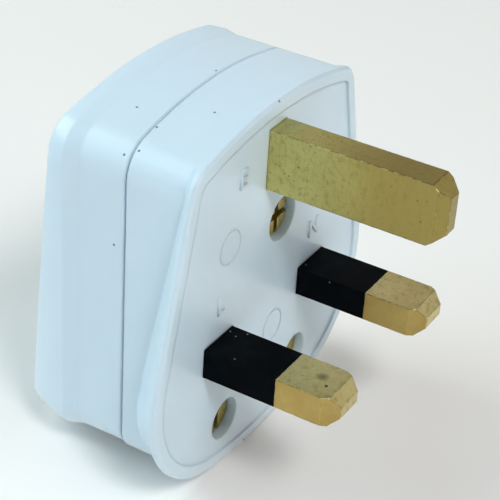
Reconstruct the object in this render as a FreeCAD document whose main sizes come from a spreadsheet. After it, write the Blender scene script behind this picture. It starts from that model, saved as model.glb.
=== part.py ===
"""A rewireable 13 A plug with three flat pins, built piece by piece, in millimetres.

+Z runs up to the earth pin, +X to the right seen from the pins, and the pins point along -Y.
The origin lies on the panel of the engagement face, midway between the live and neutral pins.
"""
import FreeCAD, Part
import math
import os
import Sketcher

# Driving sizes, in millimetres and degrees. Heights are along Z, depths along Y from the panel.
SIZES = {
    # Outline of the moulding behind the flange, with the room left round the terminals in it
    "block_room": 1.085,
    "earth_crown_room": 1.07,
    "live_crown_room": 2.7,
    "crown_radius": 60.0,
    "cover_foot_room": 0.9,
    "foot_radius": 64.0,
    "body_crown_corner": 4.5,
    "body_foot_corner": 4.5,
    "wall": 2.0,
    # Engagement face, its raised rim and the flange that flares out to it
    "face_half_width": 24.9,
    "face_side_angle": 14.0,
    "face_foot_overhang": 1.2,
    "face_crown_corner": 3.5,
    "face_foot_corner": 16.0,
    "face_wall": 3.0,
    "rim_height": 0.3,
    "rim_width": 1.8,
    "rim_bevel": 0.35,
    "flange_land": 0.6,
    "flare_depth": 6.2,
    "flare_run": 7.4,
    "flare_tuck": 0.7,
    "flare_crown_corner": 2.0,
    "flare_foot_corner": 9.0,
    "parting_depth": 9.0,
    # Cover: parting groove, finger lip, tapered back band and sloping back
    "groove_width": 0.35,
    "groove_depth": 0.6,
    "lip_setback": 5.6,
    "lip_height": 2.0,
    "lip_flare": 0.65,
    "lip_crown_flare": 0.2,
    "lip_foot_flare": 0.4,
    "band_overrun": 3.8,
    "band_swell": 0.31,
    "band_run": 5.4,
    "band_crown_run": 1.0,
    "band_foot_run": 0.6,
    "band_crown_corner": 3.4,
    "band_foot_corner": 2.6,
    "back_room": 6.0,
    "back_slope": 6.6,
    "back_wall": 2.2,
    "back_bevel": 0.55,
    # Pins
    "earth_height": 22.23,
    "pin_spacing": 22.23,
    "earth_thickness": 3.95,
    "earth_breadth": 7.92,
    "earth_reach": 22.73,
    "line_breadth": 6.35,
    "line_thickness": 3.95,
    "line_reach": 17.7,
    "earth_end_bevel": 2.0,
    "earth_end_inset": 1.6,
    "earth_side_bevel": 1.3,
    "earth_side_inset": 1.0,
    "line_end_bevel": 2.1,
    "line_end_inset": 1.2,
    "line_side_bevel": 1.3,
    "line_side_inset": 1.2,
    "sleeve_reach": 9.5,
    "sleeve_wall": 0.6,
    "pin_clearance": 0.05,
    # Terminals behind the face wall
    "shoulder_thickness": 2.0,
    "shoulder_breadth": 7.6,
    "shoulder_height": 6.0,
    "earth_block_breadth": 7.4,
    "earth_block_height": 8.6,
    "neutral_block_breadth": 7.6,
    "neutral_block_height": 7.0,
    "live_block_breadth": 6.4,
    "live_block_height": 4.6,
    "live_block_gap": 0.4,
    "block_top": 13.4,
    "wire_depth": 8.2,
    "wire_hole": 1.6,
    "terminal_shank": 1.5,
    "terminal_thread_gap": 0.1,
    "terminal_head": 2.3,
    "terminal_head_thickness": 1.6,
    # Fuse and its clips
    "fuse_drop": 2.5,
    "fuse_length": 25.4,
    "fuse_cap_length": 6.0,
    "fuse_cap_radius": 3.17,
    "fuse_cap_wall": 0.3,
    "fuse_tube_wall": 1.07,
    "fuse_wire_radius": 0.2,
    "fuse_seat": 0.05,
    "clip_metal": 0.5,
    "clip_length": 5.0,
    "clip_mouth": 2.3,
    "clip_leg": 1.8,
    "clip_leg_height": 1.3,
    "rivet_radius": 1.0,
    "rivet_grip": 1.2,
    "rivet_gap": 0.15,
    "rivet_head": 1.6,
    "rivet_head_thickness": 0.35,
    # Cover screw, off centre to clear the fuse, its washer and the bush in the cover
    "cover_screw_across": 2.7,
    "screw_post_gap": 1.73,
    "cover_screw_head": 2.85,
    "cover_screw_head_gap": 0.25,
    "cover_screw_sink": 0.9,
    "cover_screw_head_thickness": 2.4,
    "cover_screw_shank": 1.75,
    "cover_screw_gap": 0.15,
    "head_chamfer": 0.35,
    "post_wall": 1.0,
    "bush_wall": 1.7,
    "post_top": 8.3,
    "washer_thickness": 0.8,
    "washer_radius": 3.4,
    "insert_radius": 2.9,
    "insert_gap": 0.5,
    "insert_length": 6.8,
    "screw_end_room": 0.6,
    "slot_width": 0.9,
    "slot_depth": 1.0,
    # Cord grip
    "grip_spacing": 17.2,
    "grip_height": 11.8,
    "grip_head": 2.55,
    "grip_head_gap": 0.3,
    "grip_sink": 1.2,
    "grip_head_thickness": 1.6,
    "grip_shank": 1.4,
    "grip_gap": 0.15,
    "grip_post_wall": 1.05,
    "grip_post_top": 8.2,
    "grip_bar_thickness": 2.4,
    "grip_bar_breadth": 5.2,
    "tooth_depth": 0.6,
    "tooth_bite": 0.45,
    "tooth_pitch": 1.6,
    "tooth_breadth": 0.6,
    "grip_nut_radius": 2.6,
    "grip_nut_thickness": 1.7,
    "grip_tail": 0.6,
    "cord_radius": 3.75,
    "saddle_breadth": 2.4,
    "outlet_radius": 4.25,
    "relief_half_width": 3.4,
    "relief_depth": 0.5,
    # Ribs
    "rib_thickness": 1.0,
    "rib_gap": 0.6,
    "rib_drop": 0.3,
    "rib_low": 6.0,
    "rib_high": 15.5,
    "web_gap": 0.6,
    "fuse_rib_gap": 0.3,
    "fuse_rib_spread": 4.0,
    "seat_clearance": 0.1,
    # How far a cut runs past the surface that it goes through
    "over_cut": 1.0,
}

V = FreeCAD.Vector
doc = FreeCAD.newDocument("three_pin_plug")
sheet = doc.addObject("Spreadsheet::Sheet", "sizes")
for row, (alias, number) in enumerate(SIZES.items(), start=1):
    sheet.set("A%d" % row, alias)
    sheet.set("B%d" % row, str(number))
    sheet.setAlias("B%d" % row, alias)
doc.recompute()


class Size:
    """A number together with the expression that works it out from the sheet."""

    def __init__(self, value, text):
        self.value = value
        self.text = text

    def __add__(self, other):
        other = as_size(other)
        return Size(self.value + other.value, "(%s + %s)" % (self.text, other.text))

    def __sub__(self, other):
        other = as_size(other)
        return Size(self.value - other.value, "(%s - %s)" % (self.text, other.text))

    def __mul__(self, other):
        other = as_size(other)
        return Size(self.value * other.value, "(%s * %s)" % (self.text, other.text))

    def __truediv__(self, other):
        other = as_size(other)
        return Size(self.value / other.value, "(%s / %s)" % (self.text, other.text))

    def __neg__(self):
        return Size(-self.value, "(-1 * %s)" % self.text)


def as_size(number):
    return number if isinstance(number, Size) else Size(float(number), repr(float(number)))


def size(alias):
    return Size(float(sheet.get(alias)), "sizes.%s" % alias)


def cosine(angle):
    return Size(math.cos(math.radians(angle.value)), "cos(%s * 1 deg)" % angle.text)


def tangent(angle):
    return Size(math.tan(math.radians(angle.value)), "tan(%s * 1 deg)" % angle.text)


def greater(first, second):
    return Size(max(first.value, second.value), "max(%s; %s)" % (first.text, second.text))


ZERO = as_size(0.0)


def bind(thing, name, amount):
    """Set a property to a size and tie it to the sheet."""
    amount = as_size(amount)
    if "." not in name:
        setattr(thing, name, amount.value)
    thing.setExpression(name, amount.text)


def place(thing, x=ZERO, y=ZERO, z=ZERO, rotation=None):
    """Move a piece, with its place tied to the sheet."""
    spin = rotation if rotation is not None else FreeCAD.Rotation()
    spots = [as_size(a) for a in (x, y, z)]
    thing.Placement = FreeCAD.Placement(V(*[a.value for a in spots]), spin)
    for axis, spot in zip("xyz", spots):
        thing.setExpression("Placement.Base.%s" % axis, spot.text)


FACING_FRONT = FreeCAD.Rotation(V(1, 0, 0), 90)
ALONG_Y = FreeCAD.Rotation(V(1, 0, 0), -90)
ALONG_X = FreeCAD.Rotation(V(0, 1, 0), 90)


# Sketches

def constrain(sketch, constraint, name, amount):
    """Add a dimension to a sketch and tie it to the sheet."""
    index = sketch.addConstraint(constraint)
    sketch.renameConstraint(index, name)
    sketch.setExpression("Constraints.%s" % name, amount.text)


class Outline:
    """A rounded outline: crown arc, two leaning sides, foot arc and four corner fillets."""

    def __init__(self, half_width, angle, crown, crown_radius, foot, foot_radius, crown_corner, foot_corner):
        self.half_width = half_width
        self.angle = angle
        self.crown = crown
        self.crown_radius = crown_radius
        self.foot = foot
        self.foot_radius = foot_radius
        self.crown_corner = crown_corner
        self.foot_corner = foot_corner

    def inset(self, distance):
        """The same outline moved inwards all round, about the same centres."""
        return Outline(self.half_width - distance / cosine(self.angle), self.angle,
                       self.crown - distance, self.crown_radius - distance,
                       self.foot - distance, self.foot_radius - distance,
                       self.crown_corner - distance, self.foot_corner - distance)

    def corner_centre(self, arc_centre, arc_radius, corner, upward):
        """Centre of the fillet that touches the right side and the crown or foot arc."""
        lean = math.radians(self.angle.value)
        normal = V(math.cos(lean), math.sin(lean), 0)
        along = V(-normal.y, normal.x, 0) * (1 if upward else -1)
        inward = self.half_width.value * math.cos(lean) - corner - normal.dot(arc_centre)
        rise = math.sqrt((arc_radius - corner) ** 2 - inward ** 2)
        return arc_centre + normal * inward + along * rise

    def draw(self, sketch):
        lean = math.radians(self.angle.value)
        normal = V(math.cos(lean), math.sin(lean), 0)
        top = V(0, self.crown.value - self.crown_radius.value, 0)
        low = V(0, self.foot_radius.value - self.foot.value, 0)
        upper = self.corner_centre(top, self.crown_radius.value, self.crown_corner.value, True)
        lower = self.corner_centre(low, self.foot_radius.value, self.foot_corner.value, False)
        top_turn = math.atan2(upper.y - top.y, upper.x - top.x)
        low_turn = math.atan2(lower.y - low.y, lower.x - low.x)

        def arc(centre, radius, start, end):
            circle = Part.Circle(V(*centre), V(0, 0, 1), radius)
            return Part.ArcOfCircle(circle, start, end)

        def mirrored(point):
            return V(-point.x, point.y, 0)

        right_low = lower + normal * self.foot_corner.value
        right_top = upper + normal * self.crown_corner.value
        pieces = [
            Part.LineSegment(right_low, right_top),
            arc(upper, self.crown_corner.value, lean, top_turn),
            arc(top, self.crown_radius.value, top_turn, math.pi - top_turn),
            arc(mirrored(upper), self.crown_corner.value, math.pi - top_turn, math.pi - lean),
            Part.LineSegment(mirrored(right_top), mirrored(right_low)),
            arc(mirrored(lower), self.foot_corner.value, math.pi - lean, math.pi - low_turn),
            arc(low, self.foot_radius.value, math.pi - low_turn, 2 * math.pi + low_turn),
            arc(lower, self.foot_corner.value, 2 * math.pi + low_turn, 2 * math.pi + lean),
        ]
        sketch.addGeometry(pieces, False)
        for index in range(len(pieces)):
            following = (index + 1) % len(pieces)
            sketch.addConstraint(Sketcher.Constraint("Tangent", index, 2, following, 1))
        sketch.addConstraint(Sketcher.Constraint("PointOnObject", 2, 3, -2))
        sketch.addConstraint(Sketcher.Constraint("PointOnObject", 6, 3, -2))
        sketch.addConstraint(Sketcher.Constraint("Equal", 1, 3))
        sketch.addConstraint(Sketcher.Constraint("Equal", 7, 5))
        sketch.addConstraint(Sketcher.Constraint("Symmetric", 0, 1, 4, 2, -2))
        radii = ((2, "crown_arc", self.crown_radius), (6, "foot_arc", self.foot_radius),
                 (1, "crown_corner", self.crown_corner), (7, "foot_corner", self.foot_corner))
        for index, name, amount in radii:
            constrain(sketch, Sketcher.Constraint("Radius", index, amount.value), name, amount)
        crown_centre = self.crown - self.crown_radius
        foot_centre = self.foot_radius - self.foot
        constrain(sketch, Sketcher.Constraint("DistanceY", -1, 1, 2, 3, crown_centre.value),
                  "crown_centre", crown_centre)
        constrain(sketch, Sketcher.Constraint("DistanceY", -1, 1, 6, 3, foot_centre.value),
                  "foot_centre", foot_centre)
        reach = self.half_width * cosine(self.angle)
        constrain(sketch, Sketcher.Constraint("Distance", -1, 1, 0, reach.value), "side_reach", reach)
        if self.angle.value:
            turn = Size(math.pi / 2 + lean, "(90 deg + %s * 1 deg)" % self.angle.text)
            constrain(sketch, Sketcher.Constraint("Angle", 0, turn.value), "side_turn", turn)
        else:
            sketch.addConstraint(Sketcher.Constraint("Vertical", 0))


def outline_sketch(name, outline, depth):
    """A sketch of an outline, square to the pins, at a depth behind the panel."""
    sketch = doc.addObject("Sketcher::SketchObject", name)
    outline.draw(sketch)
    place(sketch, y=depth, rotation=FACING_FRONT)
    return sketch


def draw_polygon(sketch, corners):
    """A closed run of lines whose corners are tied to the sheet."""
    corners = [(as_size(a), as_size(b)) for a, b in corners]
    count = len(corners)
    for index in range(count):
        start = corners[index]
        end = corners[(index + 1) % count]
        sketch.addGeometry(Part.LineSegment(V(start[0].value, start[1].value, 0),
                                            V(end[0].value, end[1].value, 0)), False)
    for index in range(count):
        sketch.addConstraint(Sketcher.Constraint("Coincident", index, 2, (index + 1) % count, 1))
    for index, (across, up) in enumerate(corners):
        if across.value == 0.0:
            sketch.addConstraint(Sketcher.Constraint("PointOnObject", index, 1, -2))
        else:
            constrain(sketch, Sketcher.Constraint("DistanceX", -1, 1, index, 1, across.value),
                      "across_%d" % index, across)
        if up.value == 0.0:
            sketch.addConstraint(Sketcher.Constraint("PointOnObject", index, 1, -1))
        else:
            constrain(sketch, Sketcher.Constraint("DistanceY", -1, 1, index, 1, up.value),
                      "up_%d" % index, up)


# Solids made from sketches and primitives

def prism(name, outline, start, end):
    """An outline carried from one depth to another."""
    start = as_size(start)
    length = as_size(end) - start
    solid = doc.addObject("Part::Extrusion", name)
    solid.Base = outline_sketch(name + "_outline", outline, start)
    solid.DirMode = "Custom"
    solid.Dir = V(0, 1, 0)
    solid.Solid = True
    bind(solid, "LengthFwd", length)
    return solid


def loft(name, sections):
    """A solid through outlines at two depths, with straight sides, or at three, with curved ones."""
    solid = doc.addObject("Part::Loft", name)
    solid.Sections = [outline_sketch("%s_%d" % (name, index), outline, depth)
                      for index, (outline, depth) in enumerate(sections)]
    solid.Solid = True
    solid.Ruled = len(sections) == 2
    solid.Linearize = True
    return solid


def box(name, x, y, z):
    """A block between two limits along each axis."""
    solid = doc.addObject("Part::Box", name)
    limits = [(as_size(low), as_size(high)) for low, high in (x, y, z)]
    for side, (low, high) in zip(("Length", "Width", "Height"), limits):
        bind(solid, side, high - low)
    place(solid, *[low for low, high in limits])
    return solid


def rod(name, radius, x, y, z):
    """A round bar: the axis with two limits is the one that it runs along."""
    solid = doc.addObject("Part::Cylinder", name)
    bind(solid, "Radius", radius)
    spans = [x, y, z]
    along = [index for index, span in enumerate(spans) if isinstance(span, tuple)][0]
    low, high = [as_size(a) for a in spans[along]]
    bind(solid, "Height", high - low)
    spans[along] = low
    place(solid, *spans, rotation=(ALONG_X, ALONG_Y, FreeCAD.Rotation())[along])
    return solid


def united(name, solids):
    whole = doc.addObject("Part::MultiFuse", name)
    whole.Shapes = solids
    whole.Refine = True
    return whole


def without(name, solid, tools):
    """A solid less each of the tools."""
    removed = tools[0] if len(tools) == 1 else united(name + "_removed", tools)
    rest = doc.addObject("Part::Cut", name)
    rest.Base = solid
    rest.Tool = removed
    rest.Refine = True
    return rest


def shared(name, solids):
    overlap = doc.addObject("Part::MultiCommon", name)
    overlap.Shapes = solids
    return overlap


def bevelled(name, solid, amount, chosen):
    """Break the edges of a solid that a test picks out."""
    doc.recompute()
    broken = doc.addObject("Part::Chamfer", name)
    broken.Base = solid
    picked = [index for index, edge in enumerate(solid.Shape.Edges, start=1) if chosen(edge)]
    broken.Edges = [(index, amount.value, amount.value) for index in picked]
    return broken


def profiled(name, corners, length, x=ZERO, z=ZERO, rotation=None):
    """A polygon carried the same way to both sides of its own plane."""
    sketch = doc.addObject("Sketcher::SketchObject", name + "_profile")
    draw_polygon(sketch, corners)
    place(sketch, x, ZERO, z, rotation)
    bar = doc.addObject("Part::Extrusion", name)
    bar.Base = sketch
    bar.DirMode = "Normal"
    bar.Solid = True
    bar.Symmetric = True
    bind(bar, "LengthFwd", length)
    return bar


def origin_plane(body, role):
    return [plane for plane in body.Origin.OriginFeatures if plane.Role == role][0]


def new_body(name):
    return doc.addObject("PartDesign::Body", name)


def body_sketch(body, name, role, corners):
    """A polygon on one of a body's own origin planes."""
    sketch = body.newObject("Sketcher::SketchObject", name)
    sketch.AttachmentSupport = [(origin_plane(body, role), "")]
    sketch.MapMode = "FlatFace"
    draw_polygon(sketch, corners)
    return sketch


def turned(body, name, corners):
    """A profile of (radius, depth) corners turned about the body's Y axis."""
    sketch = body_sketch(body, name + "_profile", "XY_Plane", corners)
    feature = body.newObject("PartDesign::Revolution", name)
    feature.Profile = sketch
    feature.ReferenceAxis = (sketch, ["V_Axis"])
    feature.Angle = 360.0
    return feature


def slotted(body, name, role, corners, length):
    """A slot sawn through a screw head, both ways from the middle plane."""
    sketch = body_sketch(body, name + "_profile", role, corners)
    feature = body.newObject("PartDesign::Pocket", name)
    feature.Profile = sketch
    feature.SideType = "Symmetric"
    bind(feature, "Length", length)
    return feature


PARTS = {}


def finished(node, thing):
    """Name a sub-part and keep it for export."""
    thing.Label = node
    PARTS[node] = thing
    return thing


# Outlines and places that several pieces share

over = size("over_cut")
parting = size("parting_depth")
face_wall = size("face_wall")
wall = size("wall")
front = -size("rim_height")
screw_across = size("cover_screw_across")
screw_recess = size("cover_screw_head") + size("cover_screw_head_gap")
screw_post = screw_recess + size("post_wall")
# The cover screw's post stands just below the earth terminal
screw_up = (size("earth_height") - size("earth_block_height") / 2 - screw_post
            - size("screw_post_gap"))
shoulder_top = face_wall + size("shoulder_thickness")
line_offset = size("pin_spacing") / 2
screw_seat = size("cover_screw_sink") + size("cover_screw_head_thickness")
screw_clear = size("cover_screw_shank") + size("cover_screw_gap")
insert_start = size("post_top") + size("washer_thickness") + size("insert_gap")
insert_end = insert_start + size("insert_length")
terminal_hole = size("terminal_shank") + size("terminal_thread_gap")
grip_seat = size("grip_sink") + size("grip_head_thickness")
grip_clear = size("grip_shank") + size("grip_gap")
grip_offset = size("grip_spacing") / 2
grip_level = -size("grip_height")
grip_recess = size("grip_head") + size("grip_head_gap")
grip_post = grip_recess + size("grip_post_wall")
# The bar's teeth bite into a cord that lies in the parting plane
bar_start = parting + size("cord_radius") + size("tooth_depth") - size("tooth_bite")
bar_end = bar_start + size("grip_bar_thickness")
fuse_low = -(size("fuse_drop") + size("fuse_cap_length") / 2)
fuse_high = fuse_low + size("fuse_length")
fuse_depth = (shoulder_top + size("clip_metal") + size("rivet_head_thickness")
              + size("rivet_gap") + size("fuse_cap_radius"))
clip_low = -size("fuse_drop")
clip_high = fuse_high - size("fuse_cap_length") / 2
live_block_low = fuse_high + size("live_block_gap")
live_block_mid = live_block_low + size("live_block_height") / 2
tube_radius = size("fuse_cap_radius") - size("fuse_cap_wall")
rib_outer = line_offset - size("neutral_block_breadth") / 2 - size("rib_gap")
rib_inner = rib_outer - size("rib_thickness")
sleeve_end = front - size("sleeve_reach")
# The moulding is as wide, as high and as deep as its terminals need
half_width = line_offset + size("neutral_block_breadth") / 2 + size("block_room") + wall
crown = greater(size("earth_height") + size("earth_block_height") / 2 + size("earth_crown_room"),
                live_block_low + size("live_block_height") + size("live_crown_room")) + wall
back_depth = (size("block_top") + size("terminal_head_thickness") + size("back_room")
              + size("back_wall"))
lip_depth = back_depth - size("lip_setback")
lip_start = lip_depth - size("lip_height")
band_end = back_depth + size("band_overrun")
# Its foot lies just below the cord grip
base_foot = size("grip_height") + grip_post + wall
cover_foot = (size("grip_height") + greater(size("grip_nut_radius"), size("grip_bar_breadth") / 2)
              + size("cover_foot_room") + wall)
face_foot = base_foot + size("face_foot_overhang")
# How near a point counts as lying on a plane
CLOSE = 0.01


def body_outline(foot):
    return Outline(half_width, ZERO, crown, size("crown_radius"), foot, size("foot_radius"),
                   size("body_crown_corner"), size("body_foot_corner"))


def centred(middle, breadth):
    """The two limits of a length about its middle."""
    middle = as_size(middle)
    return (middle - breadth / 2, middle + breadth / 2)


def sloping_block(name, depth):
    """All that lies behind the sloping back plane, which crosses the pins' level at a depth."""
    block = doc.addObject("Part::Box", name)
    span = (size("face_half_width") + crown) * 2
    slope = size("back_slope")
    for side in ("Length", "Width", "Height"):
        bind(block, side, span)
    place(block, -span / 2, depth + span / 2 * tangent(slope), -span / 2,
          FreeCAD.Rotation(V(1, 0, 0), slope.value))
    block.setExpression("Placement.Rotation.Angle", "%s * 1 deg" % slope.text)
    return block


def outlet(name):
    """The round way out for the cord, half in the base and half in the cover."""
    return rod(name, size("outlet_radius"), ZERO, parting,
               (-(face_foot + over), -(cover_foot - wall - over)))


# The two mouldings

def base():
    body = body_outline(base_foot)
    face = Outline(size("face_half_width"), size("face_side_angle"), crown, size("crown_radius"),
                   face_foot, size("foot_radius"), size("face_crown_corner"), size("face_foot_corner"))
    flare_end = Outline(size("face_half_width") - size("flare_run"), size("face_side_angle"),
                        crown - size("flare_tuck"), size("crown_radius"),
                        base_foot - size("flare_tuck"), size("foot_radius"),
                        size("flare_crown_corner"), size("flare_foot_corner"))
    at_front = front.value
    shell = united("base_shell", [
        prism("base_sides", body, ZERO, parting),
        bevelled("flange_bevelled", prism("face_flange", face, front, size("flange_land")),
                 size("rim_bevel"), lambda edge: edge.BoundBox.YMax < at_front + CLOSE),
        loft("face_flare", [(face, size("flange_land")), (flare_end, size("flare_depth"))]),
    ])
    post_start = face_wall / 2
    hollow = without("base_hollowed", shell, [
        prism("panel_recess", face.inset(size("rim_width")), front - over, ZERO),
        prism("base_hollow", body.inset(wall), face_wall, parting + over),
    ])
    posts = [
        rod("screw_post", screw_post, screw_across, (post_start, size("post_top")), screw_up),
        box("cord_saddle", (-grip_offset, grip_offset), (post_start, parting - size("cord_radius")),
            centred(grip_level, size("saddle_breadth"))),
    ]
    holes = [
        rod("screw_recess", screw_recess, screw_across, (front - over, screw_seat), screw_up),
        rod("screw_way", screw_clear, screw_across, (ZERO, size("post_top") + over), screw_up),
        box("earth_slot", centred(ZERO, size("earth_thickness") + size("pin_clearance") * 2),
            (front - over, face_wall + over), centred(size("earth_height"), size("earth_breadth")
                                                      + size("pin_clearance") * 2)),
        box("outlet_relief", centred(ZERO, size("relief_half_width") * 2), (front - over, parting),
            (-(face_foot + over), -(face_foot - size("relief_depth")))),
        outlet("base_outlet"),
    ]
    for side, sign in (("left", -1), ("right", 1)):
        across = grip_offset * sign
        posts.append(rod("grip_post_" + side, grip_post, across, (post_start, size("grip_post_top")),
                         grip_level))
        limits = (-rib_outer, -rib_inner) if sign < 0 else (rib_inner, rib_outer)
        posts.append(box("rib_" + side, limits, (post_start, size("post_top") - size("rib_drop")),
                         (-size("rib_low"), size("rib_high"))))
        holes.append(rod("grip_recess_" + side, grip_recess, across, (front - over, grip_seat),
                         grip_level))
        holes.append(rod("grip_way_" + side, grip_clear, across, (ZERO, size("grip_post_top") + over),
                         grip_level))
        holes.append(box("line_slot_" + side,
                         centred(line_offset * sign, size("line_breadth") + size("pin_clearance") * 2),
                         (front - over, face_wall + over),
                         centred(ZERO, size("line_thickness") + size("pin_clearance") * 2)))
    finished("base", without("base_moulding", united("base_with_posts", [hollow] + posts), holes))


def cover():
    body = body_outline(cover_foot)
    lip = Outline(body.half_width + size("lip_flare"), ZERO, body.crown + size("lip_crown_flare"),
                  body.crown_radius, body.foot + size("lip_foot_flare"), body.foot_radius,
                  body.crown_corner, body.foot_corner)

    def drawn_in(share):
        """The lip's outline, drawn in by a share of the back band's run."""
        return Outline(lip.half_width - size("band_run") * share, ZERO,
                       lip.crown - size("band_crown_run") * share, body.crown_radius,
                       lip.foot - size("band_foot_run") * share, body.foot_radius,
                       lip.crown_corner + (size("band_crown_corner") - lip.crown_corner) * share,
                       lip.foot_corner + (size("band_foot_corner") - lip.foot_corner) * share)

    band = drawn_in(1)
    band_middle = (lip_depth + band_end) / 2
    groove_end = parting + size("groove_width")
    blank = united("cover_blank", [
        prism("groove_neck", body.inset(size("groove_depth")), parting, groove_end),
        prism("cover_sides", body, groove_end, lip_start),
        loft("finger_lip", [(body, lip_start), (lip, lip_depth)]),
        # Less than half of the run half way along makes the band swell
        loft("back_band", [(lip, lip_depth), (drawn_in(size("band_swell")), band_middle), (band, band_end)]),
    ])
    shell = without("cover_shell", blank, [sloping_block("back_plane", back_depth)])
    lean = math.tan(math.radians(size("back_slope").value))
    behind = back_depth.value

    def on_back(edge):
        return all(abs(spot.Point.y - behind + spot.Point.z * lean) < CLOSE for spot in edge.Vertexes)

    shell = bevelled("cover_shell_bevelled", shell, size("back_bevel"), on_back)
    inner = body.inset(wall)
    narrow = band.half_width - wall
    room = shared("cover_room", [
        prism("cover_hollow", inner, parting - over, band_end),
        profiled("band_room", [(-inner.half_width, parting - over), (inner.half_width, parting - over),
                               (inner.half_width, lip_depth), (narrow, band_end), (-narrow, band_end),
                               (-inner.half_width, lip_depth)], (crown + cover_foot) * 2),
    ])
    hollow = without("cover_room_cut", room, [sloping_block("inner_back_plane", back_depth
                                                            - size("back_wall"))])
    fuse_mid = (fuse_low + fuse_high) / 2
    ribs = [
        rod("insert_post", size("insert_radius") + size("bush_wall"), screw_across,
            (insert_start, back_depth), screw_up),
        box("cover_web", centred(screw_across, size("rib_thickness")),
            (size("block_top") + size("web_gap"), back_depth), (-size("rib_low"), screw_up)),
    ]
    for name, sign in (("lower", -1), ("upper", 1)):
        ribs.append(box("fuse_rib_" + name, (-half_width, -rib_inner),
                        (fuse_depth + size("fuse_cap_radius") + size("fuse_rib_gap"), back_depth),
                        centred(fuse_mid + size("fuse_rib_spread") * sign, size("rib_thickness"))))
    inside = shared("cover_ribs", [united("cover_rib_set", ribs), shell])
    ribbed = united("cover_with_ribs", [without("cover_hollowed", shell, [hollow]), inside])
    finished("cover", without("cover_moulding", ribbed, [
        rod("insert_seat", size("insert_radius"), screw_across, (parting, insert_end), screw_up),
        outlet("cover_outlet"),
    ]))


# The pins

FACING_SIDE = FreeCAD.Rotation(V(1, 1, 1), 120)


def bevelled_bar(name, x, z, across, up, tip, root, side_bevel, side_inset, end_bevel, end_inset):
    """A flat pin: one profile seen from the side and one from above, and what they share."""
    bars = []
    for view, breadth, bevel, inset in (("side", up, end_bevel, end_inset),
                                        ("top", across, side_bevel, side_inset)):
        half = breadth / 2
        profile = [(root, half), (tip + bevel, half), (tip, half - inset), (tip, -(half - inset)),
                   (tip + bevel, -half), (root, -half)]
        if view == "side":
            bars.append(profiled(name + "_side", profile, across * 2, x, z, FACING_SIDE))
        else:
            bars.append(profiled(name + "_top", [(b, a) for a, b in profile], up * 2, x, z))
    return shared(name + "_blade", bars)


def earth_pin():
    level = size("earth_height")
    blade = bevelled_bar("earth", ZERO, level, size("earth_thickness"), size("earth_breadth"),
                         front - size("earth_reach"), shoulder_top, size("earth_side_bevel"),
                         size("earth_side_inset"), size("earth_end_bevel"), size("earth_end_inset"))
    block = box("earth_block", centred(ZERO, size("earth_block_breadth")), (face_wall, size("block_top")),
                centred(level, size("earth_block_height")))
    finished("earth_pin", without("earth_pin_drilled", united("earth_pin_body", [blade, block]), [
        rod("earth_wire_way", size("wire_hole"), ZERO, size("wire_depth"),
            centred(level, size("earth_block_height") + over * 2)),
        rod("earth_screw_way", terminal_hole, ZERO, (size("wire_depth"), size("block_top") + over), level),
    ]))


def line_blade(name, sign):
    """The shank of a live or neutral pin, waisted where its sleeve sits."""
    x = line_offset * sign
    tip = bevelled_bar(name, x, ZERO, size("line_breadth"), size("line_thickness"),
                       front - size("line_reach"), sleeve_end, size("line_end_bevel"),
                       size("line_end_inset"), size("line_side_bevel"), size("line_side_inset"))
    waist = box(name + "_waist", centred(x, size("line_breadth") - size("sleeve_wall") * 2),
                (sleeve_end - size("sleeve_wall"), shoulder_top),
                centred(ZERO, size("line_thickness") - size("sleeve_wall") * 2))
    outer = box(name + "_sleeve_outside", centred(x, size("line_breadth")), (sleeve_end, face_wall),
                centred(ZERO, size("line_thickness")))
    inner = box(name + "_sleeve_inside", centred(x, size("line_breadth") - size("sleeve_wall") * 2),
                (sleeve_end - over, face_wall + over),
                centred(ZERO, size("line_thickness") - size("sleeve_wall") * 2))
    finished(name + "_pin_sleeve", without(name + "_sleeve", outer, [inner]))
    return [tip, waist]


def neutral_pin():
    block = box("neutral_block", centred(line_offset, size("neutral_block_breadth")),
                (face_wall, size("block_top")), centred(ZERO, size("neutral_block_height")))
    body = united("neutral_pin_body", line_blade("neutral", 1) + [block])
    finished("neutral_pin", without("neutral_pin_drilled", body, [
        rod("neutral_wire_way", size("wire_hole"), line_offset, size("wire_depth"),
            centred(ZERO, size("neutral_block_height") + over * 2)),
        rod("neutral_screw_way", terminal_hole, line_offset,
            (size("wire_depth"), size("block_top") + over), ZERO),
    ]))


def live_pin():
    shoulder = box("live_shoulder", centred(-line_offset, size("shoulder_breadth")),
                   (face_wall, shoulder_top),
                   (clip_low - size("shoulder_height") / 2, size("shoulder_height") / 2))
    body = united("live_pin_body", line_blade("live", -1) + [shoulder])
    finished("live_pin", without("live_pin_drilled", body, [
        rod("live_rivet_hole", size("rivet_radius"), -line_offset,
            (shoulder_top - size("rivet_grip"), shoulder_top + over), clip_low),
    ]))


def live_terminal():
    block = box("live_block", centred(-line_offset, size("live_block_breadth")),
                (face_wall, size("block_top")),
                (live_block_low, live_block_low + size("live_block_height")))
    foot = box("live_foot", centred(-line_offset, size("live_block_breadth")), (face_wall, shoulder_top),
               (clip_high - size("shoulder_height") / 2, live_block_mid))
    finished("live_terminal", without("live_terminal_drilled", united("live_terminal_body", [block, foot]), [
        rod("live_wire_way", size("wire_hole"), centred(-line_offset, size("live_block_breadth") + over * 2),
            size("wire_depth"), live_block_mid),
        rod("live_screw_way", terminal_hole, -line_offset,
            (size("wire_depth"), size("block_top") + over), live_block_mid),
        rod("terminal_rivet_hole", size("rivet_radius"), -line_offset,
            (shoulder_top - size("rivet_grip"), shoulder_top + over), clip_high),
    ]))


# Screws, nuts, washer and insert

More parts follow.
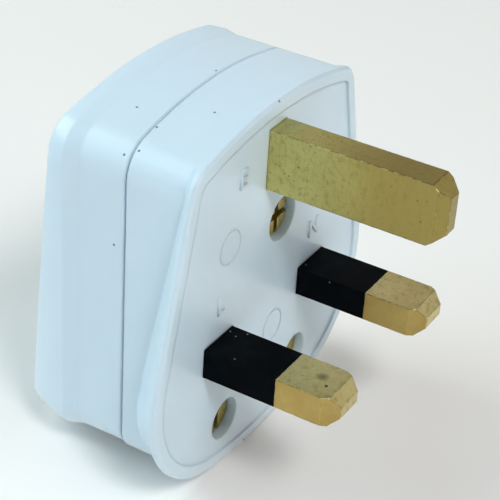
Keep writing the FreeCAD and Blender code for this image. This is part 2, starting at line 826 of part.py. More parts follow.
def terminal_screw(node, x, z):
    body = new_body(node + "_body")
    top = size("block_top")
    end = top + size("terminal_head_thickness")
    turned(body, node + "_turned", [
        (ZERO, size("wire_depth")), (size("terminal_shank"), size("wire_depth")),
        (size("terminal_shank"), top), (size("terminal_head"), top), (size("terminal_head"), end),
        (ZERO, end)])
    half = size("slot_width") / 2
    slotted(body, node + "_slot", "XY_Plane",
            [(-half, end - size("slot_depth")), (half, end - size("slot_depth")), (half, end + over),
             (-half, end + over)], (size("terminal_head") + over) * 2)
    place(body, x, ZERO, z)
    finished(node, body)


def faced_screw(node, x, z, sink, seat, head, shank, end, cross):
    """A screw driven from the face: its head lies below the panel and its shank runs inwards."""
    body = new_body(node + "_body")
    rim = [(head, sink)]
    if cross:
        chamfer = size("head_chamfer")
        rim = [(head - chamfer, sink), (head, sink + chamfer)]
    turned(body, node + "_turned", [(ZERO, sink)] + rim + [
        (head, seat), (shank, seat), (shank, end), (ZERO, end)])
    half = size("slot_width") / 2
    floor = sink + size("slot_depth")
    corners = [(-half, sink - over), (half, sink - over), (half, floor), (-half, floor)]
    slotted(body, node + "_slot", "XY_Plane", corners, (head + over) * 2)
    if cross:
        slotted(body, node + "_cross_slot", "YZ_Plane", [(b, a) for a, b in corners], (head + over) * 2)
    place(body, x, ZERO, z)
    finished(node, body)


def ring(node, outer, inner, start, end, x, z):
    """A washer or bush about a screw."""
    start = as_size(start)
    finished(node, without(node + "_ring", rod(node + "_disc", outer, x, (start, end), z),
                           [rod(node + "_bore", inner, x, (start - over, end + over), z)]))


def fasteners():
    terminal_screw("earth_terminal_screw", ZERO, size("earth_height"))
    terminal_screw("neutral_terminal_screw", line_offset, ZERO)
    terminal_screw("live_terminal_screw", -line_offset, live_block_mid)
    faced_screw("cover_screw", screw_across, screw_up, size("cover_screw_sink"), screw_seat,
                size("cover_screw_head"), size("cover_screw_shank"), insert_end - size("screw_end_room"),
                True)
    ring("cover_screw_washer", size("washer_radius"), size("cover_screw_shank") + size("seat_clearance"),
         size("post_top"), size("post_top") + size("washer_thickness"), screw_across, screw_up)
    ring("cover_screw_insert", size("insert_radius"), size("cover_screw_shank") + size("seat_clearance"),
         insert_start, insert_end, screw_across, screw_up)
    for side, sign in (("left", -1), ("right", 1)):
        across = grip_offset * sign
        end = bar_end + size("grip_nut_thickness") + size("grip_tail")
        faced_screw("cord_grip_screw_" + side, across, grip_level, size("grip_sink"), grip_seat,
                    size("grip_head"), size("grip_shank"), end, False)
        nut = doc.addObject("Part::Prism", "grip_nut_blank_" + side)
        nut.Polygon = 6
        bind(nut, "Circumradius", size("grip_nut_radius"))
        bind(nut, "Height", size("grip_nut_thickness"))
        place(nut, across, bar_end, grip_level, ALONG_Y)
        finished("cord_grip_nut_" + side, without("grip_nut_tapped_" + side, nut, [
            rod("grip_nut_hole_" + side, size("grip_shank") + size("seat_clearance"), across,
                (bar_end - over, bar_end + size("grip_nut_thickness") + over), grip_level)]))


def cord_grip_bar():
    breadth = size("grip_bar_breadth")
    solids = [box("grip_bar_middle", (-grip_offset, grip_offset), (bar_start, bar_end),
                  centred(grip_level, breadth))]
    holes = []
    for side, sign in (("left", -1), ("right", 1)):
        across = grip_offset * sign
        solids.append(rod("grip_bar_end_" + side, breadth / 2, across, (bar_start, bar_end), grip_level))
        holes.append(rod("grip_bar_hole_" + side, grip_clear, across, (bar_start - over, bar_end + over),
                         grip_level))
    for name, sign in (("lower", -1), ("middle", 0), ("upper", 1)):
        solids.append(box("grip_tooth_" + name, centred(ZERO, size("cord_radius") * 2),
                          (bar_start - size("tooth_depth"), bar_end),
                          centred(grip_level + size("tooth_pitch") * sign, size("tooth_breadth"))))
    finished("cord_grip_bar", without("grip_bar_drilled", united("grip_bar_blank", solids), holes))


# The fuse, its clips and their rivets

def fuse():
    x = -line_offset
    skin = size("fuse_cap_wall")
    tube = rod("fuse_tube_blank", tube_radius, x, fuse_depth, (fuse_low + skin, fuse_high - skin))
    finished("fuse_tube", without("fuse_tube_bored", tube, [
        rod("fuse_tube_bore", tube_radius - size("fuse_tube_wall"), x, fuse_depth,
            (fuse_low - over, fuse_high + over))]))
    finished("fuse_element", rod("fuse_element_wire", size("fuse_wire_radius"), x, fuse_depth,
                                 (fuse_low + skin, fuse_high - skin)))
    for name, outer, inner in (("pin_side", fuse_low, fuse_low + size("fuse_cap_length")),
                               ("terminal_side", fuse_high, fuse_high - size("fuse_cap_length"))):
        lower = name == "pin_side"
        span = (outer, inner) if lower else (inner, outer)
        room = (outer + skin, inner + over) if lower else (inner - over, outer - skin)
        cup = rod("fuse_cap_blank_" + name, size("fuse_cap_radius"), x, fuse_depth, span)
        finished("fuse_cap_" + name, without("fuse_cap_drawn_" + name, cup, [
            rod("fuse_cap_room_" + name, tube_radius, x, fuse_depth, room)]))


def fuse_clip(name, z):
    """A strip bent into a foot, two legs and two curved jaws round the fuse cap."""
    x = -line_offset
    span = centred(z, size("clip_length"))
    metal = size("clip_metal")
    inner = size("fuse_cap_radius") + size("fuse_seat")
    leg = size("clip_leg")
    past = (span[0] - over, span[1] + over)
    jaws = without("clip_jaws_" + name, rod("clip_outside_" + name, inner + metal, x, fuse_depth, span), [
        rod("clip_inside_" + name, inner, x, fuse_depth, past),
        box("clip_mouth_" + name, centred(x, size("clip_mouth") * 2),
            (fuse_depth, fuse_depth + inner + metal + over), past),
        box("clip_window_" + name, centred(x, leg * 2), (shoulder_top, fuse_depth), past)])
    top = shoulder_top + size("clip_leg_height")
    pieces = [
        jaws,
        box("clip_foot_" + name, centred(x, (leg + metal) * 2), (shoulder_top, shoulder_top + metal), span),
        box("clip_leg_left_" + name, (x - leg - metal, x - leg), (shoulder_top, top), span),
        box("clip_leg_right_" + name, (x + leg, x + leg + metal), (shoulder_top, top), span),
    ]
    finished("fuse_clip_" + name, without("clip_pierced_" + name, united("clip_bent_" + name, pieces), [
        rod("clip_hole_" + name, size("rivet_radius"), x, (shoulder_top - over, shoulder_top + metal), z)]))
    clamp = shoulder_top + metal
    shank = rod("rivet_shank_" + name, size("rivet_radius"), x,
                (shoulder_top - size("rivet_grip"), clamp + size("rivet_head_thickness")), z)
    head = rod("rivet_head_" + name, size("rivet_head"), x, (clamp, clamp + size("rivet_head_thickness")), z)
    finished("clip_rivet_" + name, united("rivet_" + name, [shank, head]))


base()
cover()
earth_pin()
neutral_pin()
live_pin()
live_terminal()
fasteners()
cord_grip_bar()
fuse()
fuse_clip("pin_side", clip_low)
fuse_clip("terminal_side", clip_high)
doc.recompute()

faults = ["%s is %s" % (thing.Name, thing.State) for thing in doc.Objects
          if "Invalid" in thing.State or "Error" in thing.State]
for node, thing in PARTS.items():
    shape = thing.Shape
    if shape.isNull() or not shape.isValid() or not shape.Solids:
        faults.append("%s has no sound solid" % node)
if faults:
    raise RuntimeError("; ".join(faults))

os.makedirs("parts", exist_ok=True)
for node, thing in PARTS.items():
    thing.Shape.exportStep("parts/%s.step" % node)
    print("%-26s %2d solid, volume %9.2f mm3" % (node, len(thing.Shape.Solids), thing.Shape.Volume))
print("%d sub-parts" % len(PARTS))
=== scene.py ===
import math

import bpy
from mathutils import Matrix, Vector


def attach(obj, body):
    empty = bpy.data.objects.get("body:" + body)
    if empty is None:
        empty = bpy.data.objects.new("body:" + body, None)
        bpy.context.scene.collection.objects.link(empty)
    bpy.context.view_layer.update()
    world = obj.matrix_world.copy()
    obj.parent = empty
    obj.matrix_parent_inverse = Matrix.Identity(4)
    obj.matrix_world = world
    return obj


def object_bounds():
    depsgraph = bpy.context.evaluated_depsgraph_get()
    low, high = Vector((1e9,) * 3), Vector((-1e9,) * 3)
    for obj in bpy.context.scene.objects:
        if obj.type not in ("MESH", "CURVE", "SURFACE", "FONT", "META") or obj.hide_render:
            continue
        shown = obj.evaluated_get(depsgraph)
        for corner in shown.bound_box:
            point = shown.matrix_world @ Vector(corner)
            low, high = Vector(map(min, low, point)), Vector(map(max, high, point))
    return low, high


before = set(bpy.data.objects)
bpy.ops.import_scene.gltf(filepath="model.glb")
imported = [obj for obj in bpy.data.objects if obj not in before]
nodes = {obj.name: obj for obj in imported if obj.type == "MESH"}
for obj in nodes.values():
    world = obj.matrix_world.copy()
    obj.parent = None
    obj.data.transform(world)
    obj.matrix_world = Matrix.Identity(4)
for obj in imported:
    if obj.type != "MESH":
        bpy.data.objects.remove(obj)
cad_low, cad_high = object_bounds()

MM = 0.001


def put_in_scene(thing):
    bpy.context.scene.collection.objects.link(thing)


# The camera, as it stood for the photograph

CAMERA_PLACE = Vector((-150.85, -81.75, 116.87)) * MM
CAMERA_HEADING = 60.75  # degrees from +Y towards +X
CAMERA_PITCH = -32.26  # degrees from level
CAMERA_ROLL = 3.8  # degrees
CAMERA_LENS = 119.3  # mm
CAMERA_SENSOR = 36.0  # mm
CAMERA_NEAR = 0.01  # m


def photograph_camera():
    data = bpy.data.cameras.new("camera")
    data.sensor_width = CAMERA_SENSOR
    data.lens = CAMERA_LENS
    data.clip_start = CAMERA_NEAR
    camera = bpy.data.objects.new("camera", data)
    turn = Matrix.Rotation(math.radians(-CAMERA_HEADING), 4, "Z")
    tip = Matrix.Rotation(math.radians(90 + CAMERA_PITCH), 4, "X")
    roll = Matrix.Rotation(math.radians(CAMERA_ROLL), 4, "Z")
    camera.matrix_world = Matrix.Translation(CAMERA_PLACE) @ turn @ tip @ roll
    put_in_scene(camera)
    bpy.context.scene.camera = camera


# Textures and how they reach the shader

MIX_FIRST, MIX_SECOND, MIX_RESULT = 6, 7, 2  # the Mix node's sockets for colours
BEVEL_SAMPLES = 6
NOISE_LOW, NOISE_HIGH = 0.25, 0.75  # nearly all of a noise lies between these
EDGE_START, EDGE_FULL = 0.99, 0.9  # cosines between the surface and its rounded look
FACING_START, FACING_FULL = 0.6, 0.9  # cosines between the surface and a direction


def scaled(colour, share):
    return tuple(part * share for part in colour)


class Finish:
    """A node material on one Principled shader, with short ways to add textures in object space."""

    def __init__(self, name, colour, roughness, **sockets):
        self.material = bpy.data.materials.new(name)
        self.material.use_nodes = True
        self.tree = self.material.node_tree
        self.shader = self.tree.nodes["Principled BSDF"]
        self.place = self.add("ShaderNodeTexCoord").outputs["Object"]
        self.normal = None
        self.shader.inputs["Base Color"].default_value = (*colour, 1)
        self.shader.inputs["Roughness"].default_value = roughness
        for label, value in sockets.items():
            self.shader.inputs[label.replace("_", " ")].default_value = value

    def add(self, kind, **settings):
        node = self.tree.nodes.new(kind)
        for label, value in settings.items():
            setattr(node, label, value)
        return node

    def feed(self, socket, source):
        """Set a socket to a number or colour, or link it to another node's output."""
        if isinstance(source, bpy.types.NodeSocket):
            self.tree.links.new(source, socket)
        elif isinstance(source, tuple) and len(source) == 3 and socket.type == "RGBA":
            socket.default_value = (*source, 1)
        else:
            socket.default_value = source

    def maths(self, operation, first, second):
        node = self.add("ShaderNodeMath", operation=operation)
        self.feed(node.inputs[0], first)
        self.feed(node.inputs[1], second)
        return node.outputs[0]

    def vector_maths(self, operation, first, second=(0, 0, 0)):
        """A number worked out from one or two vectors."""
        node = self.add("ShaderNodeVectorMath", operation=operation)
        self.feed(node.inputs[0], first)
        self.feed(node.inputs[1], second)
        return node.outputs["Value"]

    def stretched(self, grain):
        """Object coordinates in which a texture is finer or coarser along each axis."""
        node = self.add("ShaderNodeMapping")
        self.feed(node.inputs["Vector"], self.place)
        node.inputs["Scale"].default_value = grain
        return node.outputs["Vector"]

    def noise(self, size_mm, detail=3.0, roughness=0.5, grain=(1, 1, 1)):
        """Smooth noise whose features are about a size across."""
        node = self.add("ShaderNodeTexNoise")
        self.feed(node.inputs["Vector"], self.stretched(grain))
        node.inputs["Scale"].default_value = 1 / (size_mm * MM)
        node.inputs["Detail"].default_value = detail
        node.inputs["Roughness"].default_value = roughness
        return node.outputs["Fac"]

    def cells(self, size_mm):
        """Distance from the nearest of many scattered points, in cell sizes."""
        node = self.add("ShaderNodeTexVoronoi")
        self.feed(node.inputs["Vector"], self.place)
        node.inputs["Scale"].default_value = 1 / (size_mm * MM)
        return node.outputs["Distance"]

    def between(self, value, low, high, start=0.0, end=1.0):
        """A value carried from one range to another, smoothly and without passing the ends."""
        node = self.add("ShaderNodeMapRange", interpolation_type="SMOOTHSTEP")
        self.feed(node.inputs["Value"], value)
        node.inputs["From Min"].default_value = low
        node.inputs["From Max"].default_value = high
        node.inputs["To Min"].default_value = start
        node.inputs["To Max"].default_value = end
        return node.outputs["Result"]

    def spots(self, points_mm, radius_mm, core=0.6):
        """A mask round points: one up to a share of the radius, the core, and nought past the radius."""
        whole = 0.0
        edge = radius_mm * MM
        for point in points_mm:
            away = self.vector_maths("DISTANCE", self.place, Vector(point) * MM)
            whole = self.maths("MAXIMUM", self.between(away, edge, edge * core), whole)
        return whole

    def along(self, axis, start_mm, end_mm):
        """A share that runs from nought to one between two places along an axis."""
        apart = self.add("ShaderNodeSeparateXYZ")
        self.feed(apart.inputs[0], self.place)
        return self.between(apart.outputs[axis], start_mm * MM, end_mm * MM)

    def facing(self, direction):
        """A mask that is one where the surface looks in a direction."""
        normal = self.add("ShaderNodeTexCoord").outputs["Normal"]
        return self.between(self.vector_maths("DOT_PRODUCT", normal, direction), FACING_START, FACING_FULL)

    def rounded(self, radius_mm):
        """The surface's normal, as if its sharp edges were rounded."""
        node = self.add("ShaderNodeBevel", samples=BEVEL_SAMPLES)
        node.inputs["Radius"].default_value = radius_mm * MM
        return node.outputs["Normal"]

    def edges(self, radius_mm):
        """A mask that is one along sharp edges and fades within a radius of them."""
        flat = self.add("ShaderNodeNewGeometry").outputs["Normal"]
        likeness = self.vector_maths("DOT_PRODUCT", self.rounded(radius_mm), flat)
        return self.between(likeness, EDGE_START, EDGE_FULL)

    def tinted(self, share, colour):
        """Blend the base colour so far towards another by a share."""
        mix = self.add("ShaderNodeMix", data_type="RGBA")
        base = self.shader.inputs["Base Color"]
        earlier = base.links[0].from_socket if base.links else tuple(base.default_value)
        self.feed(mix.inputs["Factor"], share)
        self.feed(mix.inputs[MIX_FIRST], earlier)
        self.feed(mix.inputs[MIX_SECOND], colour)
        self.feed(base, mix.outputs[MIX_RESULT])

    def clouded(self, noise, colour, low, high, most=1.0):
        """Blend the base colour towards another where a noise is high, and so far at most."""
        self.tinted(self.between(noise, low, high, end=most), colour)

    def rough(self, noise, low, high):
        """Let the roughness follow a noise."""
        self.feed(self.shader.inputs["Roughness"], self.between(noise, NOISE_LOW, NOISE_HIGH, low, high))

    def softened(self, radius_mm):
        """Round the look of sharp edges."""
        self.normal = self.rounded(radius_mm)
        self.feed(self.shader.inputs["Normal"], self.normal)

    def bumped(self, height, depth_mm):
        """Add a relief of about a depth to the surface."""
        node = self.add("ShaderNodeBump")
        node.inputs["Distance"].default_value = depth_mm * MM
        self.feed(node.inputs["Height"], height)
        if self.normal is not None:
            self.feed(node.inputs["Normal"], self.normal)
        self.normal = node.outputs["Normal"]
        self.feed(self.shader.inputs["Normal"], self.normal)


# White mouldings

WHITE = (0.70, 0.84, 0.94)
# Painted shade: the white at the foot is darker and less blue, for the dimmer, warmer light low down
WHITE_PAINTED_SHADE_AT_FOOT = (0.69, 0.78, 0.84)
FOOT_SHADE_START, FOOT_SHADE_FULL = -9.0, -21.0  # heights in mm between which the painted shade at the foot fades in
CLOUD_SHADE = 0.97
SPECK = (0.16, 0.17, 0.17)
SPECK_RADIUS = 0.2  # mm

# Where the mouldings have small dark specks, in mm
BASE_SPECKS = [(-7.0, 4.6, 29.2), (-12.5, 8.8, 28.3), (-0.5, -0.1, 29.4), (-16.3, 8.6, 27.0),
               (-3.8, -0.3, -18.2)]
COVER_SPECKS = [(1.5, 9.8, 29.6), (-18.0, 10.6, 14.7), (-10.5, 12.9, 28.7), (-17.0, 10.1, 26.3)]


def white_plastic(name, specks):
    """Glossy moulded plastic: a faint cloud in the colour, painted shade that turns it darker and less
    blue towards the foot, slow sink marks and small dark specks.
    """
    finish = Finish(name, WHITE, roughness=0.32, Coat_Weight=0.3, Coat_Roughness=0.15, IOR=1.49,
                    Subsurface_Weight=0.3, Subsurface_Scale=1.5 * MM)
    finish.shader.inputs["Subsurface Radius"].default_value = (0.9, 1.0, 1.0)
    finish.tinted(finish.noise(size_mm=7.0), scaled(WHITE, CLOUD_SHADE))
    # Painted shade: darker and less blue towards the foot
    finish.tinted(finish.along("Z", FOOT_SHADE_START, FOOT_SHADE_FULL), WHITE_PAINTED_SHADE_AT_FOOT)
    finish.tinted(finish.spots(specks, SPECK_RADIUS), SPECK)
    finish.rough(finish.noise(size_mm=9.0), low=0.29, high=0.37)
    finish.softened(radius_mm=0.4)
    finish.bumped(finish.noise(size_mm=11.0, detail=0.0), depth_mm=0.003)
    finish.bumped(finish.noise(size_mm=0.6), depth_mm=0.0006)
    return finish.material


# Brass

EVEN = (1, 1, 1)  # the same along each axis, or for each part of a colour
EARTH_BRASS, EARTH_DARK = (0.64, 0.58, 0.21), (0.46, 0.36, 0.11)
EARTH_GRAIN = (1, 1, 0.15)  # upright streaks
EARTH_PAINTED_TIP_SHADE = (-2.0, -17.0)  # y in mm where the painted shade towards the tip starts and where it is full; the root stays lighter for the reflected white face
LINE_BRASS, LINE_DARK = (0.78, 0.68, 0.34), (0.6, 0.46, 0.17)
LINE_PAINTED_SIDE_SHADE = (0.57, 0.42, 0.23)  # share of each part of the colour that is left on the side facing -X: painted shade and warm reflection, darker and browner there
SCREW_BRASS, SCREW_DARK = (0.6, 0.47, 0.14), (0.2, 0.13, 0.03)
FAINT_PAINTED_TIP_SHADE = (0.0, -80.0)  # far longer than a pin, so that only a trace of the painted shade shows at its tip
# The side of the pins that gets the painted shade and warm reflection
PAINTED_SHADE_SIDE_FACES = (-1, 0, 0)
# Painted highlight for rounded edges that catch the light
PAINTED_EDGE_HIGHLIGHT = (0.95, 0.86, 0.5)
# A dark colour along parts of the edges
EDGE_DARK = (0.09, 0.065, 0.02)
PIT = (0.05, 0.035, 0.015)

# Stains on the live pin's top: place in mm, radius in mm, share of the radius that is even, colour
PIN_STAINS = [((-10.6, -14.0, 2.0), 1.1, 0.1, (0.3, 0.27, 0.13)),
              ((-11.9, -15.2, 2.0), 0.25, 0.6, (0.03, 0.02, 0.01))]


def brass(name, colour, dark, mottle_mm, roughness, grain=EVEN, painted_tip_shade=FAINT_PAINTED_TIP_SHADE, stains=(),
          painted_side_shade=EVEN, pitted=1.0):
    """Drawn brass, mottled, streaked and pitted, with painted shade darker towards -Y and on the side
    facing -X, and at its edges dark in places and painted highlights in others.
    """
    finish = Finish(name, colour, roughness, Metallic=1.0)
    # Painted shade and warm reflection: the side facing -X is darker and browner
    side_colour_in_painted_shade = tuple(part * share for part, share in zip(colour, painted_side_shade))
    finish.tinted(finish.facing(PAINTED_SHADE_SIDE_FACES), side_colour_in_painted_shade)
    finish.clouded(finish.noise(size_mm=6.0), dark, low=0.35, high=0.7, most=0.5)
    # Painted shade and reflection: darker towards the tip, lighter at the root where the white face is
    # reflected
    finish.tinted(finish.along("Y", *painted_tip_shade), scaled(dark, share=0.8))

    mottles = finish.noise(mottle_mm, detail=6.0, roughness=0.7)
    streaks = finish.noise(size_mm=0.3, detail=5.0, roughness=0.7, grain=grain)
    finish.clouded(mottles, scaled(dark, share=0.7), low=0.5, high=0.7, most=0.65)
    finish.clouded(streaks, scaled(dark, share=0.6), low=0.45, high=0.8, most=0.5)

    pits = finish.between(finish.cells(size_mm=0.8), low=0.14, high=0.07, end=pitted)
    where_pitted = finish.between(finish.noise(size_mm=2.2), low=0.48, high=0.62)
    finish.tinted(finish.maths("MULTIPLY", pits, where_pitted), PIT)
    for place, radius, core, tone in stains:
        finish.tinted(finish.spots([place], radius, core), tone)

    edges = finish.edges(radius_mm=0.12)
    patches = finish.noise(size_mm=0.9, detail=4.0)
    where_painted_highlight = finish.between(patches, low=0.5, high=0.4)
    where_edge_dark = finish.between(patches, low=0.42, high=0.55)
    # Painted highlight along parts of the edges, where a rounded edge would catch the light
    finish.tinted(finish.maths("MULTIPLY", edges, where_painted_highlight), PAINTED_EDGE_HIGHLIGHT)
    # Darker along the other parts of the edges
    finish.tinted(finish.maths("MULTIPLY", edges, where_edge_dark), EDGE_DARK)

    finish.rough(mottles, low=roughness, high=roughness + 0.12)
    finish.softened(radius_mm=0.22)
    finish.bumped(streaks, depth_mm=0.012)
    finish.bumped(mottles, depth_mm=0.006)
    return finish.material


# The other materials

BLACK, BLACK_CLOUD = (0.0006, 0.0014, 0.0026), (0.003, 0.006, 0.008)
DUST = (0.16, 0.18, 0.18)
DUST_RADIUS = 0.15  # mm

# Where the sleeves carry light specks of dust, in mm
SLEEVE_DUST = [(7.9, -4.7, 1.6), (9.2, -0.5, 2.0), (-9.6, -1.5, 2.0), (-9.1, -0.4, 2.0),
               (-8.4, -2.4, 2.0), (-13.6, -3.8, 2.0)]

FIBRE, FIBRE_DARK = (0.55, 0.2, 0.12), (0.36, 0.11, 0.06)
CERAMIC, CERAMIC_DARK = (0.88, 0.85, 0.78), (0.76, 0.72, 0.63)
WIRE = (0.75, 0.75, 0.75)
NICKEL = (0.8, 0.79, 0.76)
SPRING_STRIP = (0.72, 0.7, 0.66)
LINES_ALONG_X, LINES_ALONG_Z = (0.1, 1, 1), (1, 1, 0.1)


def black_plastic():
    """Smooth black plastic with a faint cold cloud and a few light specks of dust."""
    finish = Finish("black_plastic", BLACK, roughness=0.45, Specular_IOR_Level=0.03)
    finish.clouded(finish.noise(size_mm=2.5), BLACK_CLOUD, low=0.45, high=0.75, most=0.7)
    finish.tinted(finish.spots(SLEEVE_DUST, DUST_RADIUS), DUST)
    finish.rough(finish.noise(size_mm=1.0), low=0.36, high=0.5)
    finish.bumped(finish.noise(size_mm=0.8), depth_mm=0.008)
    return finish.material


def fibre_board():
    """Pressed red fibre with a fine fleck."""
    finish = Finish("fibre_board", FIBRE, roughness=0.8)
    finish.tinted(finish.noise(size_mm=0.4, detail=6.0), FIBRE_DARK)
    finish.bumped(finish.noise(size_mm=0.25, detail=5.0), depth_mm=0.03)
    return finish.material


def ceramic():
    """Unglazed pale ceramic with fine darker grains."""
    finish = Finish("ceramic", CERAMIC, roughness=0.55)
    finish.clouded(finish.noise(size_mm=0.3, detail=4.0), CERAMIC_DARK, low=0.5, high=0.8)
    finish.bumped(finish.noise(size_mm=0.2, detail=4.0), depth_mm=0.01)
    return finish.material


def plated(name, colour, roughness, grain):
    """Bright plated or tinned metal with fine drawing lines."""
    finish = Finish(name, colour, roughness, Metallic=1.0)
    lines = finish.noise(size_mm=0.3, detail=4.0, grain=grain)
    finish.clouded(lines, scaled(colour, share=0.7), low=0.45, high=0.8, most=0.5)
    finish.rough(lines, low=roughness - 0.05, high=roughness + 0.1)
    finish.bumped(lines, depth_mm=0.006)
    return finish.material


# Which piece gets which material

def dress(material, *names):
    for name in names:
        mesh = nodes[name].data
        mesh.materials.clear()
        mesh.materials.append(material)


def dress_all():
    dress(white_plastic("white_base", BASE_SPECKS), "base")
    dress(white_plastic("white_cover", COVER_SPECKS), "cover")
    dress(brass("earth_brass", EARTH_BRASS, EARTH_DARK, mottle_mm=0.7, roughness=0.29, grain=EARTH_GRAIN,
                painted_tip_shade=EARTH_PAINTED_TIP_SHADE),
          "earth_pin")
    dress(brass("line_brass", LINE_BRASS, LINE_DARK, mottle_mm=1.0, roughness=0.32, stains=PIN_STAINS,
                painted_side_shade=LINE_PAINTED_SIDE_SHADE, pitted=0.35),
          "neutral_pin", "live_pin", "live_terminal")
    dress(brass("screw_brass", SCREW_BRASS, SCREW_DARK, mottle_mm=0.6, roughness=0.285),
          "earth_terminal_screw", "neutral_terminal_screw", "live_terminal_screw", "cover_screw",
          "cover_screw_insert", "cord_grip_screw_left", "cord_grip_screw_right", "cord_grip_nut_left",
          "cord_grip_nut_right", "clip_rivet_pin_side", "clip_rivet_terminal_side")
    dress(black_plastic(), "neutral_pin_sleeve", "live_pin_sleeve")
    dress(fibre_board(), "cover_screw_washer", "cord_grip_bar")
    dress(ceramic(), "fuse_tube")
    dress(plated("drawn_wire", WIRE, roughness=0.3, grain=LINES_ALONG_Z), "fuse_element")
    dress(plated("nickel", NICKEL, roughness=0.16, grain=LINES_ALONG_Z),
          "fuse_cap_pin_side", "fuse_cap_terminal_side")
    dress(plated("spring_strip", SPRING_STRIP, roughness=0.28, grain=LINES_ALONG_X),
          "fuse_clip_pin_side", "fuse_clip_terminal_side")


# Raised marks on the panel of the engagement face, which lies at y = 0

MARK_RISE = 0.2  # mm, up to where the letters' rounding starts
MARK_ROUNDING = MARK_RISE / 3
MARK_ROUNDING_STEPS = 2
LETTER_SIZE = 3.4  # mm
EJECTOR_RADIUS = 2.2  # mm
EJECTOR_LINE = 0.12  # mm, the radius of the line that the ring is drawn with
EJECTOR_LINE_STEPS, EJECTOR_ARC_STEPS = 3, 24
EJECTOR_ARCS = 4
ARC_HANDLE = 4 / 3 * math.tan(math.pi / (2 * EJECTOR_ARCS))  # in radii of the ring

# Letter, x and z of its middle in mm
TERMINAL_LETTERS = [("L", -11.1, 6.6), ("N", 11.1, 6.6), ("E", -7.6, 22.2)]

# x and z of the rings' middles in mm
EJECTOR_MARKS = [(2.1, -3.6), (-9.5, 14.0), (9.5, 14.0)]


def on_panel(name, curve, x, z):
    """Turn a curve that lies flat into a mesh on the panel, read from in front of the pins."""
    drawn = bpy.data.objects.new(name + "_curve", curve)
    put_in_scene(drawn)
    bpy.context.view_layer.update()
    flat = drawn.evaluated_get(bpy.context.evaluated_depsgraph_get())
    mesh = bpy.data.meshes.new_from_object(flat)
    mesh.transform(Matrix.Translation((x * MM, 0, z * MM)) @ Matrix.Rotation(math.pi / 2, 4, "X"))
    bpy.data.objects.remove(drawn)
    mark = bpy.data.objects.new(name, mesh)
    put_in_scene(mark)
    mesh.materials.clear()
    mesh.materials.append(nodes["base"].data.materials[0])
    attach(mark, "root")


def terminal_letter(letter, x, z):
    curve = bpy.data.curves.new("letter_" + letter, "FONT")
    curve.body = letter
    curve.size = LETTER_SIZE * MM
    curve.align_x = "CENTER"
    curve.align_y = "CENTER"
    curve.extrude = MARK_RISE * MM
    curve.bevel_depth = MARK_ROUNDING * MM
    curve.bevel_resolution = MARK_ROUNDING_STEPS
    on_panel("terminal_letter_" + letter, curve, x, z)


def ejector_mark(number, x, z):
    """The faint ring that an ejector pin leaves on a moulding."""
    curve = bpy.data.curves.new("ring", "CURVE")
    curve.dimensions = "3D"
    curve.bevel_depth = EJECTOR_LINE * MM
    curve.bevel_resolution = EJECTOR_LINE_STEPS
    curve.resolution_u = EJECTOR_ARC_STEPS
    spline = curve.splines.new("BEZIER")
    spline.bezier_points.add(EJECTOR_ARCS - 1)
    for index, point in enumerate(spline.bezier_points):
        angle = index * 2 * math.pi / EJECTOR_ARCS
        out = Vector((math.cos(angle), math.sin(angle), 0)) * EJECTOR_RADIUS * MM
        onward = Vector((-out.y, out.x, 0)) * ARC_HANDLE
        point.co = out
        point.handle_left = out - onward
        point.handle_right = out + onward
    spline.use_cyclic_u = True
    on_panel("ejector_mark_%d" % number, curve, x, z)


def raised_marks():
    for letter, x, z in TERMINAL_LETTERS:
        terminal_letter(letter, x, z)
    for number, (x, z) in enumerate(EJECTOR_MARKS, start=1):
        ejector_mark(number, x, z)


# Floor, sky and lights

FLOOR_SIZE = 12.0  # m
PAPER, PAPER_CLOUD = (0.97, 0.93, 0.89), (0.96, 0.92, 0.88)
FLOOR_LIGHT = (1.0, 0.98, 0.96, 1.0)
FLOOR_GLOW = 0.03  # of the floor round the plug
FAR_GLOW = 0.3  # of the far floor and the horizon, which show in low views
FAR_START, FAR_FULL = 0.7, 2.0  # m from the middle
SKY_COLOUR, SKY_GLOW = (0.9, 0.96, 1.0), 0.02
HORIZON_TOP, SKY_START = 0.1, 0.2  # heights on a unit sphere, between which the far glow fades

# Name, place in m, side in m, power in W, colour
LIGHTS = [
    ("front_high", (-0.1, -0.6, 0.6), 0.5, 2.0, (1.0, 0.97, 0.98)),
    ("key", (-0.35, -0.5, 0.75), 0.22, 3.2, (0.93, 0.98, 1.0)),
    ("front_right", (0.55, -0.4, 0.42), 0.4, 0.5, (1.0, 1.0, 0.95)),
    ("right_back", (0.6, 0.5, 0.45), 0.9, 1.35, (1.0, 0.97, 0.9)),
    ("behind_high", (-0.1, 0.55, 0.5), 0.5, 2.7, (0.83, 0.98, 1.0)),
    ("behind_left", (-0.45, 0.5, 0.35), 0.5, 1.1, (0.75, 0.91, 1.0)),
    ("upper_left", (-0.48, 0.33, 0.61), 0.22, 0.5, (0.4, 0.75, 1.0)),
]


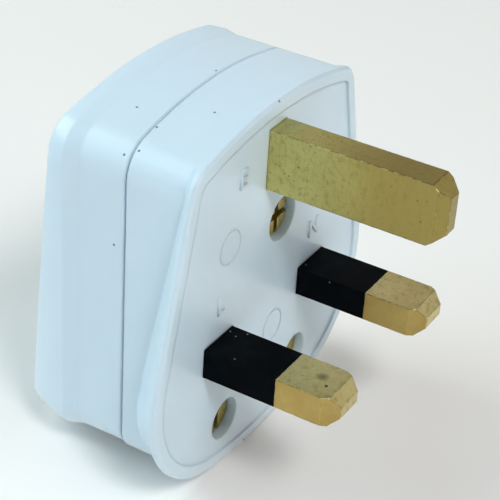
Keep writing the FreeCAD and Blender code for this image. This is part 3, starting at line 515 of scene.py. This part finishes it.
def floor():
    """A wide sheet of pale paper at the plug's lowest point, which glows a little far away."""
    mesh = bpy.data.meshes.new("floor")
    half = FLOOR_SIZE / 2
    corners = [(x, y, cad_low.z) for x, y in ((-half, -half), (half, -half), (half, half), (-half, half))]
    mesh.from_pydata(corners, [], [range(len(corners))])
    plane = bpy.data.objects.new("floor", mesh)
    put_in_scene(plane)
    finish = Finish("floor_paper", PAPER, roughness=0.9, Emission_Color=FLOOR_LIGHT)
    finish.tinted(finish.noise(size_mm=60.0), PAPER_CLOUD)
    away = finish.vector_maths("LENGTH", finish.place)
    glow = finish.between(away, FAR_START, FAR_FULL, FLOOR_GLOW, FAR_GLOW)
    finish.feed(finish.shader.inputs["Emission Strength"], glow)
    mesh.materials.append(finish.material)


def sky():
    """A faint sky that is brighter at the horizon."""
    world = bpy.data.worlds.new("studio")
    world.use_nodes = True
    tree = world.node_tree
    background = tree.nodes["Background"]
    background.inputs["Color"].default_value = (*SKY_COLOUR, 1)
    directions = tree.nodes.new("ShaderNodeTexCoord")
    apart = tree.nodes.new("ShaderNodeSeparateXYZ")
    fade = tree.nodes.new("ShaderNodeMapRange")
    fade.inputs["From Min"].default_value = HORIZON_TOP
    fade.inputs["From Max"].default_value = SKY_START
    fade.inputs["To Min"].default_value = FAR_GLOW
    fade.inputs["To Max"].default_value = SKY_GLOW
    tree.links.new(directions.outputs["Generated"], apart.inputs[0])
    tree.links.new(apart.outputs["Z"], fade.inputs["Value"])
    tree.links.new(fade.outputs["Result"], background.inputs["Strength"])
    bpy.context.scene.world = world


def softbox(name, place, aim, size, power, colour):
    """A square area light that looks at a point."""
    data = bpy.data.lights.new(name, "AREA")
    data.shape = "SQUARE"
    data.size = size
    data.energy = power
    data.color = colour
    lamp = bpy.data.objects.new(name, data)
    place = Vector(place)
    lamp.location = place
    lamp.rotation_euler = (aim - place).to_track_quat("-Z", "Y").to_euler()
    put_in_scene(lamp)


def lights():
    middle = (cad_low + cad_high) / 2
    for name, place, size, power, colour in LIGHTS:
        softbox(name, place, middle, size, power, colour)


photograph_camera()
dress_all()
raised_marks()
floor()
sky()
lights()
bpy.context.scene.view_settings.view_transform = "Standard"
